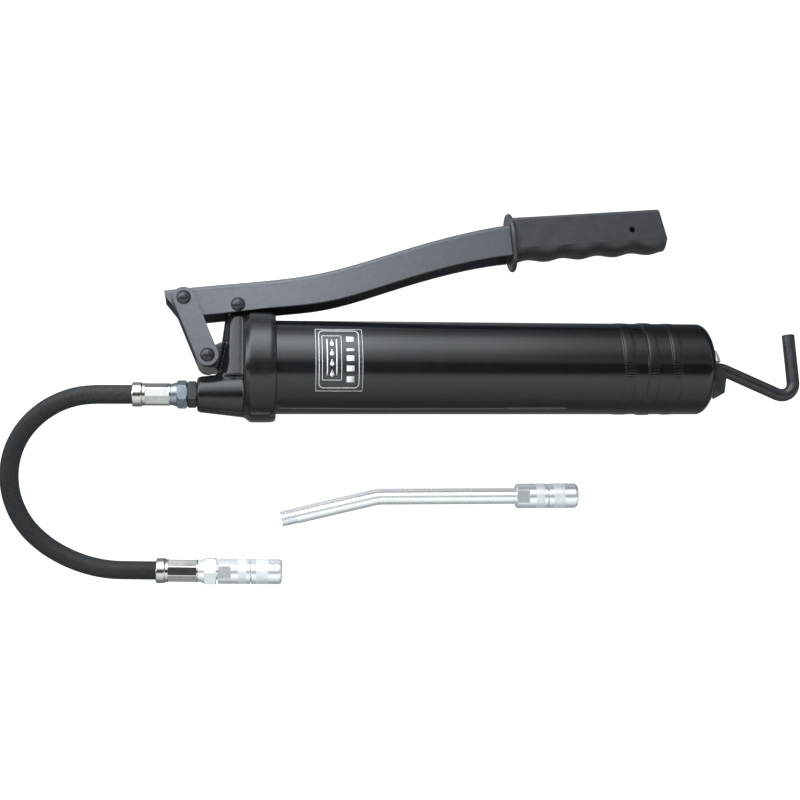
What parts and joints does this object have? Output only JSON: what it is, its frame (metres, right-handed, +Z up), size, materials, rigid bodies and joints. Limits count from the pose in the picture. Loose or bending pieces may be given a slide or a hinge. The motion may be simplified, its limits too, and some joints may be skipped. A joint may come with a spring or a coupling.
{
  "type": "grease gun",
  "caption": "Hand lever grease gun with a black steel barrel, cast pump head, linked lever with finger grip, hook-ended follower rod, short rubber hose and loose bent pipe.",
  "frame": {"origin": "centre of the footprint on the surface it lies on, measured without the hose and its end fittings", "axes": "+X from the pump head towards the follower handle, +Y from the barrel towards the lever side, +Z up from the surface"},
  "size_m": [0.499, 0.2368, 0.0672],
  "materials": {
    "black_enamel": "gloss",
    "zinc_plate": "satin",
    "steel": "satin",
    "black_rubber": "matt",
    "grip_plastic": "satin",
    "label_film": "satin"
  },
  "bodies": {
    "head": {"head_casting": "black_enamel", "plunger_seal": "black_rubber", "outlet_bushing": "black_enamel", "barrel_gasket": "black_rubber", "check_spring": "steel", "hose_nut_head": "zinc_plate", "hose_ferrule_head": "zinc_plate", "hose_rubber": "black_rubber", "hose_ferrule_tip": "zinc_plate", "hose_nut_tip": "zinc_plate", "coupler_body": "zinc_plate", "coupler_sleeve": "zinc_plate", "coupler_spring": "steel"},
    "links": {"link_plates": "black_enamel", "link_rivet_top": "black_enamel", "link_rivet_bottom": "black_enamel"},
    "lever": {"lever_channel": "black_enamel", "lever_rivet": "black_enamel", "grip": "grip_plastic"},
    "plunger": {"plunger": "steel"},
    "check_valve": {"check_ball": "steel"},
    "barrel": {"barrel_tube": "black_enamel", "barrel_label": "label_film", "rear_collar": "zinc_plate"},
    "latch": {"latch_plate": "black_enamel"},
    "piston": {"piston_cup": "black_rubber", "piston_sleeve": "steel", "piston_plate": "steel", "piston_spring": "steel"},
    "follower": {"follower_rod": "black_enamel"},
    "nipple_jaws": {"coupler_jaws": "steel", "coupler_seal": "black_rubber"},
    "spare_pipe": {"pipe_tube": "zinc_plate", "pipe_coupler_body": "zinc_plate", "pipe_coupler_sleeve": "zinc_plate", "pipe_coupler_spring": "steel"},
    "pipe_jaws": {"pipe_coupler_jaws": "steel", "pipe_coupler_seal": "black_rubber"}
  },
  "joints": [
    {"name": "barrel_screws_off", "type": "slide", "parent": "head", "child": "barrel", "axis": [0.9998, 0, -0.0188], "range_m": [0, 0.045]},
    {"name": "latch_press", "type": "slide", "parent": "barrel", "child": "latch", "axis": [0.0034, -0.9834, 0.1813], "range_m": [0, 0.003]},
    {"name": "piston_travel", "type": "slide", "parent": "barrel", "child": "piston", "axis": [0.9998, 0, -0.0188], "range_m": [0, 0.2], "stiffness_N_per_m": 250, "deforming": ["piston_spring"]},
    {"name": "rod_turns", "type": "hinge", "parent": "piston", "child": "follower", "pos_m": [0.15721, -0.00153, 0.02817], "axis": [0.9998, 0, -0.0188], "continuous": true},
    {"name": "lever_pump", "type": "hinge", "parent": "links", "child": "lever", "pos_m": [-0.17867, 0.03741, 0.02732], "axis": [0.0185, 0.1814, 0.9832], "range_deg": [0, 48]},
    {"name": "link_swing", "type": "hinge", "parent": "head", "child": "links", "pos_m": [-0.16435, 0.0029, 0.03342], "axis": [0.0185, 0.1814, 0.9832], "range_deg": [-7.5, 0.5]},
    {"name": "plunger_stroke", "type": "slide", "parent": "head", "child": "plunger", "axis": [-0.0034, 0.9834, -0.1813], "range_m": [0, 0.0245]},
    {"name": "check_lift", "type": "slide", "parent": "head", "child": "check_valve", "axis": [-0.9998, 0, 0.0188], "range_m": [0, 0.001], "stiffness_N_per_m": 60, "deforming": ["check_spring"]},
    {"name": "jaws_retract", "type": "slide", "parent": "head", "child": "nipple_jaws", "axis": [-0.9997, 0.0227, 0], "range_m": [0, 0.0015], "stiffness_N_per_m": 800, "deforming": ["coupler_spring"]},
    {"name": "spare_pipe_lifts", "type": "slide", "parent": "head", "child": "spare_pipe", "axis": [0, 0, 1], "range_m": [0, 0.08]},
    {"name": "pipe_jaws_retract", "type": "slide", "parent": "spare_pipe", "child": "pipe_jaws", "axis": [-0.9998, 0, -0.0175], "range_m": [0, 0.0015], "stiffness_N_per_m": 800, "deforming": ["pipe_coupler_spring"]}
  ],
  "couplings": [
    {"joint": "link_swing", "follows": "lever_pump", "ratio": -0.1449},
    {"joint": "plunger_stroke", "follows": "lever_pump", "m_per_rad": 0.02857}
  ]
}
